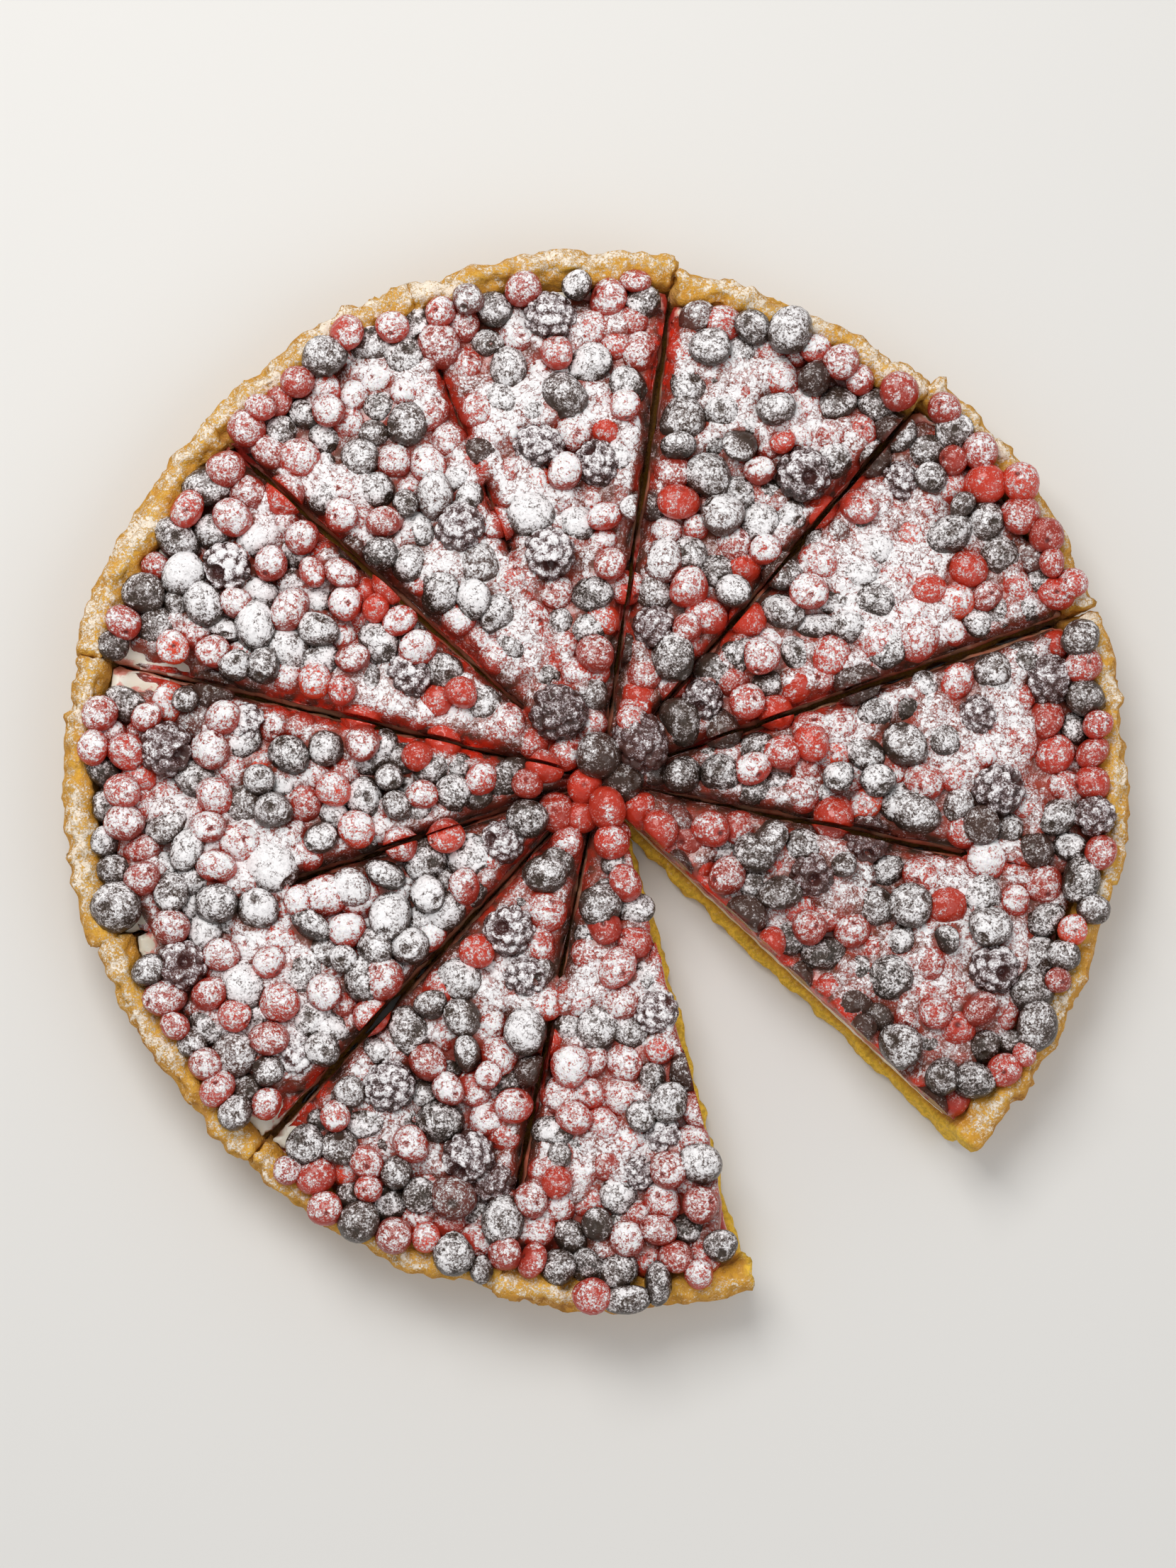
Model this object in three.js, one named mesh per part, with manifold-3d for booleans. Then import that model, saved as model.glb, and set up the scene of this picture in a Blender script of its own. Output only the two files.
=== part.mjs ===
// Berry tart from a 28 cm tin, cut into twelve portions, one of them already taken.
// Each of the eleven portions left is a pastry shell, a layer of cream and a heap of
// berries, and single brambles sit in hollows of the heaps.
// Millimetres, +Z up. The tart rests on the underside of its pastry.

import * as THREE from 'three';
import { mergeVertices } from 'three/addons/utils/BufferGeometryUtils.js';
import Module from 'manifold-3d';

const wasm = await Module();
wasm.setup();

// ---- sizes ----------------------------------------------------------------

const TART_RADIUS = 140;
const RIM_HEIGHT = 24;
const RIM_WIDTH = 8;
const RIM_LEAN = 4;
const BASE_THICKNESS = 5.5;
const CREAM_TOP = 17;
const CREAM_LIP = 2.6;
const BERRY_TOP = 29;
const RIM_STEPS = 48;
const CLEARANCE = 0.3;

// The heap's top is humps with dips between them, each a little off its place and height.
const HUMP_PITCH = 15.4;
const HUMP_DIP = 4.2;
const HUMP_UNEVEN = 1.6;
const DIP_UNEVEN = 0.7;
const HUMP_SHIFT = 0.9;

// The heap's outer edge steps in between its bulges and out at each of them.
const BULGE_IN = 2.4;
const BULGE_OUT = 1;
const BULGE_UNEVEN = 1.2;

// How far the pastry stands out of a cut, and how far the berries are pushed back.
const PASTRY_PROUD = 0.9;
const PASTRY_PROUD_OPEN = 2;
const BERRIES_BACK = 0.2;
const NARROWEST_CUT = 0.4;

// The taken portion's walls meet this far from the middle of the tart.
const OPEN_TIP_RADIUS = 9.3;
const MIDDLE_RADIUS = 80;
const BEYOND_RIM = 155;

// Cuts in order round the tart: degrees, then the width at the hub, half way and at the rim.
// The first and the last are the two walls of the taken portion.
const cuts = [
  { angle: -43.8, open: true },
  { angle: -11.5, hub: 0.8, middle: 3.0, rim: 0.8 },
  { angle: 19.2, hub: 1.6, middle: 3.2, rim: 3.5 },
  { angle: 49.8, hub: 1.2, middle: 2.4, rim: 2.5 },
  { angle: 81.6, hub: 1.4, middle: 2.6, rim: 2.5 },
  { angle: 111.5, hub: 0.8, middle: 0.9, rim: 0.8 },
  { angle: 138, hub: 1.4, middle: 2.4, rim: 1.8 },
  { angle: 166.8, hub: 1.4, middle: 2.4, rim: 0.8 },
  { angle: 198.6, hub: 1.0, middle: 2.2, rim: 0.7 },
  { angle: 227.4, hub: 1.4, middle: 2.9, rim: 2.7 },
  { angle: 258.6, hub: 1.2, middle: 2.4, rim: 1.8 },
  { angle: 285.6, open: true },
];

// How far each portion stands out from the round, and how much rim its berries leave bare.
const portions = [
  { out: -1.0, bare: 6.6 },
  { out: 0.6, bare: 4.8 },
  { out: 1.0, bare: 6.2 },
  { out: -2.6, bare: 7.6 },
  { out: 1.0, bare: 8.2 },
  { out: 1.4, bare: 7.2 },
  { out: 1.4, bare: 9.0 },
  { out: 1.2, bare: 8.8 },
  { out: -2.0, bare: 8.4 },
  { out: -2.8, bare: 5.2 },
  { out: -0.6, bare: 4.0 },
];

// Brambles: degrees round the tart, distance from its middle, and width.
const brambles = [
  { angle: -25.8, radius: 115, width: 15 },
  { angle: -24.7, radius: 61, width: 13 },
  { angle: -1.6, radius: 105, width: 15 },
  { angle: 12.5, radius: 122, width: 13 },
  { angle: 37.5, radius: 34, width: 12 },
  { angle: 42.6, radius: 14, width: 15.5 },
  { angle: 56.4, radius: 97, width: 16.5 },
  { angle: 70.5, radius: 42, width: 13 },
  { angle: 96.3, radius: 123, width: 14.5 },
  { angle: 103, radius: 61, width: 14.5 },
  { angle: 119.5, radius: 76, width: 14.5 },
  { angle: 123.5, radius: 20.5, width: 16 },
  { angle: 151, radius: 113, width: 15 },
  { angle: 176.5, radius: 114, width: 16 },
  { angle: 204.3, radius: 120, width: 14 },
  { angle: 213, radius: 31, width: 11.5 },
  { angle: 235.6, radius: 98, width: 15 },
  { angle: 239, radius: 47, width: 14 },
  { angle: 250.6, radius: 105, width: 15 },
];
const BRAMBLE_SEAT = CREAM_TOP + CLEARANCE;
const BRAMBLE_SQUAT = 0.88;
const BRAMBLE_LENGTH = 1.1;
const DRUPELET_DEPTH = 0.07;

// ---- unevenness -----------------------------------------------------------

// A repeatable number from -1 to 1 for each whole-number seed.
function scatter(seed) {
  const value = Math.sin(seed * 12.9898 + 4.1414) * 43758.5453;
  return 2 * (value - Math.floor(value)) - 1;
}

// How far the crumbly rim wanders from a true circle at an angle in radians.
function rimWander(angle) {
  return 0.55 * Math.sin(9 * angle + 1.3) + 0.4 * Math.sin(17 * angle + 4) + 0.3 * Math.sin(31 * angle);
}

// How far the top of the rim rises or falls round the tart.
function rimRise(angle) {
  return 0.7 * Math.sin(7 * angle + 0.6) + 0.5 * Math.sin(19 * angle + 2.2);
}

// ---- solids and geometries --------------------------------------------------

function solidOf(geometry) {
  const bare = geometry.clone();
  bare.deleteAttribute('normal');
  bare.deleteAttribute('uv');
  const merged = mergeVertices(bare, 1e-4);
  const mesh = new wasm.Mesh({
    numProp: 3,
    vertProperties: new Float32Array(merged.attributes.position.array),
    triVerts: new Uint32Array(merged.index.array),
  });
  return new wasm.Manifold(mesh);
}

// The biggest piece of a solid, without the slivers that a cut can leave.
function largestOf(solid) {
  const pieces = solid.decompose();
  return pieces.reduce((best, piece) => (piece.volume() > best.volume() ? piece : best));
}

function geometryOf(solid) {
  const mesh = solid.getMesh();
  const geometry = new THREE.BufferGeometry();
  geometry.setAttribute('position', new THREE.BufferAttribute(mesh.vertProperties, 3));
  geometry.setIndex(new THREE.BufferAttribute(mesh.triVerts, 1));
  const faceted = geometry.toNonIndexed();
  faceted.computeVertexNormals();
  return faceted;
}

// Moves every vertex of a geometry by a function that changes it in place.
function reshape(geometry, change) {
  const position = geometry.attributes.position;
  const vertex = new THREE.Vector3();
  for (let i = 0; i < position.count; i += 1) {
    vertex.fromBufferAttribute(position, i);
    change(vertex);
    position.setXYZ(i, vertex.x, vertex.y, vertex.z);
  }
  return geometry;
}

// Turns a profile of [radius, height] points about +Z, with the rim's wander and
// rise, which fade out towards the middle and the underside.
function turned(profile, out) {
  const points = profile.map(([radius, height]) => new THREE.Vector2(radius, height));
  const lathe = new THREE.LatheGeometry(points, RIM_STEPS);
  lathe.rotateX(Math.PI / 2);
  return reshape(lathe, (vertex) => {
    const angle = Math.atan2(vertex.y, vertex.x);
    const radius = Math.hypot(vertex.x, vertex.y);
    const nearRim = THREE.MathUtils.smoothstep(radius, TART_RADIUS - 5 * RIM_WIDTH, TART_RADIUS - RIM_WIDTH);
    const grown = radius + nearRim * (rimWander(angle) + out);
    vertex.x = grown * Math.cos(angle);
    vertex.y = grown * Math.sin(angle);
    vertex.z += nearRim * THREE.MathUtils.clamp(vertex.z / RIM_HEIGHT, 0, 1) * rimRise(angle);
  });
}

// ---- the cuts -----------------------------------------------------------------

const openMiddle = THREE.MathUtils.degToRad((cuts[0].angle + cuts[cuts.length - 1].angle - 360) / 2);
const openSpread = THREE.MathUtils.degToRad(cuts[0].angle) - openMiddle;

// A point `along` a direction from the middle and `across` it, to its left.
function polarPoint(angle, along, across) {
  const x = along * Math.cos(angle) - across * Math.sin(angle);
  const y = along * Math.sin(angle) + across * Math.cos(angle);
  return new THREE.Vector2(x, y);
}

// One wall of a portion: the direction and set-back of its stretch at the hub, then
// its bend and its end beyond the rim. `side` is 1 on the wall that the angles grow
// from and -1 on the other, and `proud` is how far the layer stands out of the cut.
function wallOf(cut, side, proud) {
  const angle = THREE.MathUtils.degToRad(cut.angle);
  if (cut.open) {
    const stand = proud > 0 ? PASTRY_PROUD_OPEN : proud;
    const tipAlong = OPEN_TIP_RADIUS * Math.cos(openSpread);
    const tipAcross = -OPEN_TIP_RADIUS * Math.sin(openSpread) - stand;
    return {
      hubAngle: side > 0 ? openMiddle : openMiddle + 2 * Math.PI,
      hubBack: NARROWEST_CUT / 2,
      bend: polarPoint(angle, tipAlong + Math.max(stand, 0) / Math.tan(openSpread), side * tipAcross),
      end: polarPoint(angle, BEYOND_RIM, -side * stand),
    };
  }
  const back = (width) => Math.max(width / 2 - proud, NARROWEST_CUT / 2);
  return {
    hubAngle: angle,
    hubBack: back(cut.hub),
    bend: polarPoint(angle, MIDDLE_RADIUS, side * back(cut.middle)),
    end: polarPoint(angle, BEYOND_RIM, side * back(cut.rim)),
  };
}

// The point near the middle of the tart where a portion's two walls meet.
function tipOf(first, second) {
  const spread = (second.hubAngle - first.hubAngle) / 2;
  const middle = (second.hubAngle + first.hubAngle) / 2;
  const along = (first.hubBack + second.hubBack) / (2 * Math.sin(spread));
  const across = (first.hubBack - second.hubBack) / (2 * Math.cos(spread));
  return polarPoint(middle, along, across);
}

// The upright block of space that one portion's layer keeps to.
function wedge(index, proud, height) {
  const first = wallOf(cuts[index], 1, proud);
  const second = wallOf(cuts[index + 1], -1, proud);
  const outline = new THREE.Shape([tipOf(first, second), first.bend, first.end, second.end, second.bend]);
  return solidOf(new THREE.ExtrudeGeometry(outline, { depth: height, bevelEnabled: false }));
}

// ---- the layers -----------------------------------------------------------------

const innerRadius = TART_RADIUS - RIM_WIDTH;
const footRadius = TART_RADIUS - RIM_LEAN;

function pastry(index) {
  const profile = [
    [0, 0],
    [footRadius - 1, 0],
    [TART_RADIUS - 1.5, RIM_HEIGHT / 2],
    [TART_RADIUS, RIM_HEIGHT - 4],
    [TART_RADIUS - 1.5, RIM_HEIGHT - 0.8],
    [TART_RADIUS - RIM_WIDTH / 2, RIM_HEIGHT],
    [innerRadius, RIM_HEIGHT - 2],
    [innerRadius - 3, BASE_THICKNESS + 3],
    [innerRadius - 8, BASE_THICKNESS],
    [0, BASE_THICKNESS],
  ];
  const shell = solidOf(turned(profile, portions[index].out));
  return shell.intersect(wedge(index, PASTRY_PROUD, RIM_HEIGHT * 2));
}

function cream(index) {
  const floor = BASE_THICKNESS + CLEARANCE;
  const profile = [
    [0, floor],
    [innerRadius - 8.3, floor],
    [innerRadius - 3.5, floor + 3],
    [innerRadius - 1.2, CREAM_TOP + CREAM_LIP],
    [innerRadius - 10, CREAM_TOP],
    [0, CREAM_TOP],
  ];
  const layer = solidOf(turned(profile, portions[index].out));
  return layer.intersect(wedge(index, 0, RIM_HEIGHT * 2));
}

// A slab whose top is a close packing of humps, one at every third point of a
// three-way grid.
function humpedSlab() {
  const step = HUMP_PITCH / Math.sqrt(3);
  const rows = 2 * Math.ceil(BEYOND_RIM / step);
  const columns = rows + 2 * Math.ceil(rows / 4);
  const slab = new THREE.BoxGeometry(columns * step, rows * step, RIM_HEIGHT, columns, rows, 1);
  return reshape(slab, (vertex) => {
    const column = Math.round(vertex.x / step);
    const row = Math.round(vertex.y / step);
    const seed = 211 * column + 17 * row;
    const isHump = (column + row) % 3 === 0;
    const isTop = vertex.z > 0;
    const lift = isHump ? HUMP_UNEVEN * scatter(seed) : DIP_UNEVEN * scatter(seed) - HUMP_DIP;
    vertex.x = (column - row / 2) * step + HUMP_SHIFT * scatter(seed + 1);
    vertex.y = (row * Math.sqrt(3) / 2) * step + HUMP_SHIFT * scatter(seed + 2);
    vertex.z = isTop ? BERRY_TOP + lift : 0;
  });
}

// The space that the berries may fill: over the cream, and round over the inner edge
// of the rim, with an outline that bulges from berry to berry.
function berrySpace(index) {
  const { out, bare } = portions[index];
  const floor = CREAM_TOP + CLEARANCE;
  const overRim = RIM_HEIGHT + CLEARANCE + 0.2;
  const profile = [
    [0, floor],
    [innerRadius - 10, floor],
    [innerRadius - 1.4, floor + CREAM_LIP],
    [innerRadius - 0.4, overRim],
    [BEYOND_RIM, overRim],
    [BEYOND_RIM, 2 * BERRY_TOP],
    [0, 2 * BERRY_TOP],
  ];
  const space = solidOf(turned(profile, out));
  const start = THREE.MathUtils.degToRad(cuts[index].angle);
  const finish = THREE.MathUtils.degToRad(cuts[index + 1].angle);
  const steps = 2 * Math.round((finish - start) * innerRadius / HUMP_PITCH);
  const edge = [new THREE.Vector2(0, 0)];
  for (let i = -1; i <= steps + 1; i += 1) {
    const angle = start + (finish - start) * i / steps;
    const bulge = i % 2 === 0 ? -BULGE_IN : BULGE_OUT + BULGE_UNEVEN * scatter(31 * index + i);
    edge.push(polarPoint(angle, TART_RADIUS + out - bare + bulge, 0));
  }
  const outline = new THREE.ExtrudeGeometry(new THREE.Shape(edge), { depth: 2 * BERRY_TOP, bevelEnabled: false });
  return space.intersect(solidOf(outline));
}

const slab = solidOf(humpedSlab()).asOriginal();

function berries(index, holes) {
  const heap = slab.intersect(berrySpace(index)).intersect(wedge(index, -BERRIES_BACK, 2 * BERRY_TOP));
  return largestOf(holes.reduce((left, hole) => left.subtract(hole), heap));
}

// Where a bramble lies: its half width, its place and the way it points.
function brambleLie(berry, index) {
  const half = berry.width / 2;
  const place = polarPoint(THREE.MathUtils.degToRad(berry.angle), berry.radius, 0);
  return { half, place, turn: Math.PI * scatter(7 * index) };
}

// An oval berry lying on its side on the cream, pitted between its drupelets.
function brambleGeometry(berry, index) {
  const { half, place, turn } = brambleLie(berry, index);
  const ball = new THREE.SphereGeometry(1, 8, 6);
  ball.rotateX(Math.PI / 2);
  reshape(ball, (vertex) => {
    const sector = Math.round(4 * Math.atan2(vertex.y, vertex.x) / Math.PI);
    const ring = Math.round(6 * Math.acos(THREE.MathUtils.clamp(vertex.z, -1, 1)) / Math.PI);
    const pit = (sector + ring) % 2 === 0 ? 1 : 1 - DRUPELET_DEPTH;
    vertex.multiplyScalar(half * pit);
  });
  ball.scale(BRAMBLE_LENGTH, 1, BRAMBLE_SQUAT);
  ball.rotateZ(turn);
  ball.translate(place.x, place.y, BRAMBLE_SEAT + BRAMBLE_SQUAT * half);
  return ball;
}

// The eight-sided hole that a bramble's berry heap leaves for it.
function brambleHole(berry, index) {
  const { half, place, turn } = brambleLie(berry, index);
  const sides = 8;
  const reach = (half + CLEARANCE) / Math.cos(Math.PI / sides);
  const post = new THREE.CylinderGeometry(reach, reach, 2 * BERRY_TOP, sides);
  post.rotateX(Math.PI / 2);
  post.scale(BRAMBLE_LENGTH, 1, 1);
  post.rotateZ(turn);
  post.translate(place.x, place.y, BERRY_TOP);
  return solidOf(post);
}

// ---- the tart -----------------------------------------------------------------

const finishes = {
  pastry: { color: 0xd2a05a, roughness: 0.85, metalness: 0 },
  cream: { color: 0xece4d6, roughness: 0.35, metalness: 0 },
  berries: { color: 0x8a2f30, roughness: 0.5, metalness: 0 },
  bramble: { color: 0x2b1a22, roughness: 0.5, metalness: 0 },
};

function node(name, geometry, finish) {
  const mesh = new THREE.Mesh(geometry, new THREE.MeshStandardMaterial(finishes[finish]));
  mesh.name = name;
  return mesh;
}

function numbered(word, index) {
  return `${word}_${String(index + 1).padStart(2, '0')}`;
}

const tart = new THREE.Group();
const holes = brambles.map(brambleHole);

portions.forEach((portion, i) => {
  tart.add(node(numbered('crust', i), geometryOf(pastry(i)), 'pastry'));
  tart.add(node(numbered('cream', i), geometryOf(cream(i)), 'cream'));
  tart.add(node(numbered('berries', i), geometryOf(berries(i, holes)), 'berries'));
});

brambles.forEach((berry, i) => {
  tart.add(node(numbered('bramble', i), brambleGeometry(berry, i), 'bramble'));
});

// The origin is under the middle of the tart's bounding box.
const box = new THREE.Box3().setFromObject(tart);
const middle = box.getCenter(new THREE.Vector3());
tart.position.set(-middle.x, -middle.y, -box.min.z);

export default tart;
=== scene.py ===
"""The looks of a berry tart from a 28 cm tin, with one of its twelve portions taken.

Pastry, cream and jelly are fine meshes made from the frame's solids and roughened. The
berries are packed by a small simulation, sliced where the knife went, and dusted with
icing sugar. Everything is in metres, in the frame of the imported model.
"""

import math

import bmesh
import bpy
import numpy as np
from mathutils import Matrix, Vector
from mathutils.bvhtree import BVHTree


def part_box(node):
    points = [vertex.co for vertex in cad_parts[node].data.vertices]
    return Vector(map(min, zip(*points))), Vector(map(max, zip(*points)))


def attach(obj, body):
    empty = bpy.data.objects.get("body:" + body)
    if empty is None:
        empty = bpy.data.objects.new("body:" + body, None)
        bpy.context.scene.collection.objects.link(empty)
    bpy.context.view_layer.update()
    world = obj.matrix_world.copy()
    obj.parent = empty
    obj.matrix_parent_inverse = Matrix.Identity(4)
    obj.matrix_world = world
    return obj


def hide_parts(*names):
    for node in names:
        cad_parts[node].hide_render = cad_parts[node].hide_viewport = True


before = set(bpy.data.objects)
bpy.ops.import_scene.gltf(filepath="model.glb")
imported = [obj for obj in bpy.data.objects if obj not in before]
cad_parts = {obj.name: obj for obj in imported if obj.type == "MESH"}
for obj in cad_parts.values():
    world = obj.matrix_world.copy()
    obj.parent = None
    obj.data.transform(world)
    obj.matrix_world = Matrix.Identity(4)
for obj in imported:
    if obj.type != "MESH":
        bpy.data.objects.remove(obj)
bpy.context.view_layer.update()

MM = 0.001
FULL_TURN = 2 * math.pi
TART_RADIUS = 140 * MM
rng = np.random.default_rng(2812)


# ---- numbers, noise and small helpers ----

def rise(value, low, high):
    """0 below low, 1 above high, and a smooth rise between them."""
    t = np.clip((value - low) / (high - low), 0, 1)
    return t * t * (3 - 2 * t)


def fade(value, low, high):
    """1 below low, 0 above high, and a smooth fall between them."""
    return 1 - rise(value, low, high)


def unit(vectors):
    """The vectors scaled to a length of 1."""
    return vectors / np.maximum(np.linalg.norm(vectors, axis=-1, keepdims=True), 1e-12)


def lattice_value(cell, seed):
    """A repeatable random number from 0 to 1 for each cell, scrambled from its place."""
    x, y, z = np.moveaxis(cell, -1, 0)
    mixed = x * 374761393 + y * 668265263 + z * 2147483647 + seed * 974634777
    mixed = (mixed ^ (mixed >> 13)) * 1274126177
    mixed = mixed ^ (mixed >> 16)
    return (mixed & 0xFFFF) / 65535.0


def grain(points, size, seed):
    """Smooth noise from -1 to 1 at each point, with lumps of about the given size. Each
    seed gives another pattern."""
    scaled = np.asarray(points, float) / size + 1000.0
    cell = np.floor(scaled).astype(np.int64)
    part = scaled - cell
    part = part * part * (3 - 2 * part)
    total = np.zeros(len(scaled))
    for corner in range(8):
        step = np.array([corner & 1, corner >> 1 & 1, corner >> 2 & 1])
        weight = np.where(step == 1, part, 1 - part).prod(-1)
        total += weight * lattice_value(cell + step, seed)
    return 2 * total - 1


# ---- the tart's plan, read from the frame ----

def node_names(word):
    """The frame's nodes of one layer, in order round the tart."""
    return sorted(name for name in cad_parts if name.startswith(word + "_"))


def read_rows(items, key, kind=float):
    """A value of each of a mesh's items, as rows of three numbers."""
    flat = np.empty(len(items) * 3, kind)
    items.foreach_get(key, flat)
    return flat.reshape(-1, 3)


def node_points(name):
    """A node's vertices as an array."""
    return read_rows(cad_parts[name].data.vertices, "co")


CRUSTS = node_names("crust")
CREAMS = node_names("cream")
HEAPS = node_names("berries")
BRAMBLES = node_names("bramble")

# The cream's top is level out to this radius, to within this height.
FLAT_RADIUS = 110 * MM
MERGE = 0.2 * MM

cream_points = node_points(CREAMS[0])
CREAM_TOP = cream_points[np.hypot(*cream_points[:, :2].T) < FLAT_RADIUS, 2].max()
RIM_TOP = max(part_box(name)[1].z for name in CRUSTS)
RIM_FOOT = 0.7 * RIM_TOP


def tree_of(names):
    """A search tree of several nodes' surfaces together."""
    points = []
    faces = []
    for name in names:
        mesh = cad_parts[name].data
        first = len(points)
        points += node_points(name).tolist()
        faces += [[first + corner for corner in polygon.vertices] for polygon in mesh.polygons]
    return BVHTree.FromPolygons(points, faces)


class Wall:
    """One cut side of a portion: two straight stretches that meet at a bend."""

    def __init__(self, tip, samples, side):
        self.end = samples[-1]
        self.along = unit(self.end - tip)
        bulge = np.array([-self.along[1], self.along[0]])
        self.bend = samples[abs((samples - tip) @ bulge).argmax()]
        directions = unit(np.array([self.bend - tip, self.end - self.bend]))
        self.normals = side * np.stack([-directions[:, 1], directions[:, 0]], -1)

    def normal(self, points):
        """The direction into the portion, square to the stretch beside each point."""
        beside_outer = (points[:, :2] - self.bend) @ self.along > 0
        return self.normals[beside_outer.astype(int)]

    def depth(self, points):
        """How far inside the portion each point lies."""
        return ((points[:, :2] - self.bend) * self.normal(points)).sum(-1)


# How far from a portion's tip its walls are felt.
FELT_AT = np.arange(4, 112, 1.5) * MM


class Portion:
    """A portion's tip and two walls, felt out from inside its layer of cream."""

    def __init__(self, name):
        points = node_points(name)
        tree = tree_of([name])
        level = points[abs(points[:, 2] - CREAM_TOP) < MERGE, :2]
        self.tip = level[np.hypot(*level.T).argmin()]
        facing = unit(points[points[:, 2] > CREAM_TOP + MERGE, :2].mean(0) - self.tip)
        sideways = np.array([-facing[1], facing[0]])
        self.walls = []
        for side in (1, -1):
            samples = []
            for reach in FELT_AT:
                start = Vector((*(self.tip + reach * facing), CREAM_TOP - MM))
                samples.append(tree.ray_cast(start, Vector((*(-side * sideways), 0)))[0].xy[:])
            self.walls.append(Wall(self.tip, np.array(samples), side))

    def depth(self, points):
        """How far inside both walls each point lies."""
        return np.minimum(self.walls[0].depth(points), self.walls[1].depth(points))


portions = [Portion(name) for name in CREAMS]
hub = np.mean([portion.tip for portion in portions], axis=0)

LAST = len(portions) - 1

# The walls beside the taken portion's space, as (portion, side).
OPEN_WALLS = ((0, 0), (LAST, 1))

TURN_STEPS = 720
turn_angles = np.arange(TURN_STEPS) * FULL_TURN / TURN_STEPS

# Where rays start towards the rim and the heap, and the least radius that they find.
WELL_INSIDE = 60 * MM
WELL_OUTSIDE = 200 * MM
WELL_ABOVE = 100 * MM
LEAST_RADIUS = 100 * MM


def filled_round(values):
    """Values from all the way round, with the gaps filled from either side."""
    known = ~np.isnan(values)
    return np.interp(turn_angles, turn_angles[known], values[known], period=FULL_TURN)


def radii_round(tree, height, outwards):
    """The distance from the hub to a surface at a height, all the way round."""
    radii = np.full(TURN_STEPS, np.nan)
    for i, angle in enumerate(turn_angles):
        direction = Vector((math.cos(angle), math.sin(angle), 0))
        start = Vector((*hub, height)) + direction * (WELL_INSIDE if outwards else WELL_OUTSIDE)
        spot = tree.ray_cast(start, direction if outwards else -direction)[0]
        if spot is not None:
            radii[i] = math.hypot(spot.x - hub[0], spot.y - hub[1])
    radii[radii < LEAST_RADIUS] = np.nan
    return filled_round(radii)


def smoothed_round(radii, steps):
    """The radii with bumps narrower than a number of steps averaged out."""
    window = np.ones(2 * steps + 1) / (2 * steps + 1)
    wrapped = np.r_[radii[-steps:], radii, radii[:steps]]
    return np.convolve(wrapped, window, "valid")


def crest_round(tree, radii):
    """The height of a surface under a circle of radii, all the way round."""
    heights = np.full(TURN_STEPS, np.nan)
    for i, (angle, radius) in enumerate(zip(turn_angles, radii)):
        x, y = hub + radius * np.array([math.cos(angle), math.sin(angle)])
        spot = tree.ray_cast(Vector((x, y, WELL_ABOVE)), Vector((0, 0, -1)))[0]
        if spot is not None and spot.z > RIM_FOOT:
            heights[i] = spot.z
    return filled_round(heights)


crust_tree = tree_of(CRUSTS)
rim_inside = radii_round(crust_tree, RIM_TOP - 3.5 * MM, outwards=True)
rim_crest = crest_round(crust_tree, rim_inside + 4 * MM)
heap_outside = radii_round(tree_of(HEAPS), RIM_TOP - 0.3 * MM, outwards=False)
heap_edge = smoothed_round(heap_outside, steps=4)


def around(table, points):
    """A table of radii round the tart, read at each point's angle."""
    angle = np.arctan2(points[:, 1] - hub[1], points[:, 0] - hub[0]) % FULL_TURN
    return np.interp(angle, turn_angles, table, period=FULL_TURN)


def from_hub(points):
    """Each point's distance from the hub, seen from above."""
    return np.hypot(points[:, 0] - hub[0], points[:, 1] - hub[1])


def depth_in_tart(points):
    """How far each point is from the nearest cut, inside its portion."""
    return np.max([portion.depth(points) for portion in portions], axis=0)


# ---- what the knife did, and the icing sugar ----

FIRST_WALL = -1

# Stretches of the closed cuts, in millimetres from the hub: where berries hide the cut
# again, where it is wet with juice or runs with it, where pale cream shows in it, and
# where berries came away beside it. The first open wall counts as a cut too.
CLOSED_UP = {
    0: [(99, 145)],
    4: [(0, 64), (84, 96), (117, 145)],
    5: [(0, 27)],
    7: [(86, 145)],
    9: [(54, 64), (111, 145)],
}
WET = {
    1: [(30, 70)],
    2: [(34, 60), (92, 110)],
    3: [(34, 50), (72, 84)],
    4: [(64, 118)],
    5: [(40, 60), (88, 102)],
    8: [(20, 50)],
    9: [(20, 36), (64, 84)],
}
RUNNING = {
    FIRST_WALL: [(0, 105), (116, 145)],
    3: [(104, 124)],
    6: [(28, 90), (101, 122)],
    8: [(106, 130)],
}
PALE = {
    1: [(24, 40)],
    3: [(40, 65), (120, 132)],
    5: [(118, 132)],
    9: [(68, 92)],
}
BARE = {
    FIRST_WALL: [(106, 113)],
    6: [(112, 128)],
    7: [(124, 134)],
    8: [(114, 132)],
}

# How softly the stretches end, in millimetres, and how far from a cut the knife's marks
# reach.
STRETCH_BLUR = 3
KNIFE_REACH = 2.5 * MM


def closed_up(cut, distance):
    """Whether the berries hide a closed cut again at a distance from the hub."""
    hidden = np.zeros(np.shape(distance), bool)
    for start, end in CLOSED_UP.get(cut, []):
        hidden |= (distance > start * MM) & (distance < end * MM)
    return hidden


def from_cut(cut, points):
    """Each point's distance from the walls of a cut."""
    after = portions[cut + 1].walls[0]
    gap = abs(after.depth(points))
    if cut != FIRST_WALL:
        gap = np.minimum(gap, abs(portions[cut].walls[1].depth(points)))
    return np.where((points[:, :2] - hub) @ after.along > 0, gap, 1.0)


def cut_nearness(points, reach):
    """1 at the closed cuts where they show, falling to 0 at the given distance."""
    distance = from_hub(points)
    nearest = np.full(len(points), 1.0)
    for cut in range(LAST):
        gap = np.where(closed_up(cut, distance), 1.0, from_cut(cut, points))
        nearest = np.minimum(nearest, gap)
    return fade(nearest, 0, reach)


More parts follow.
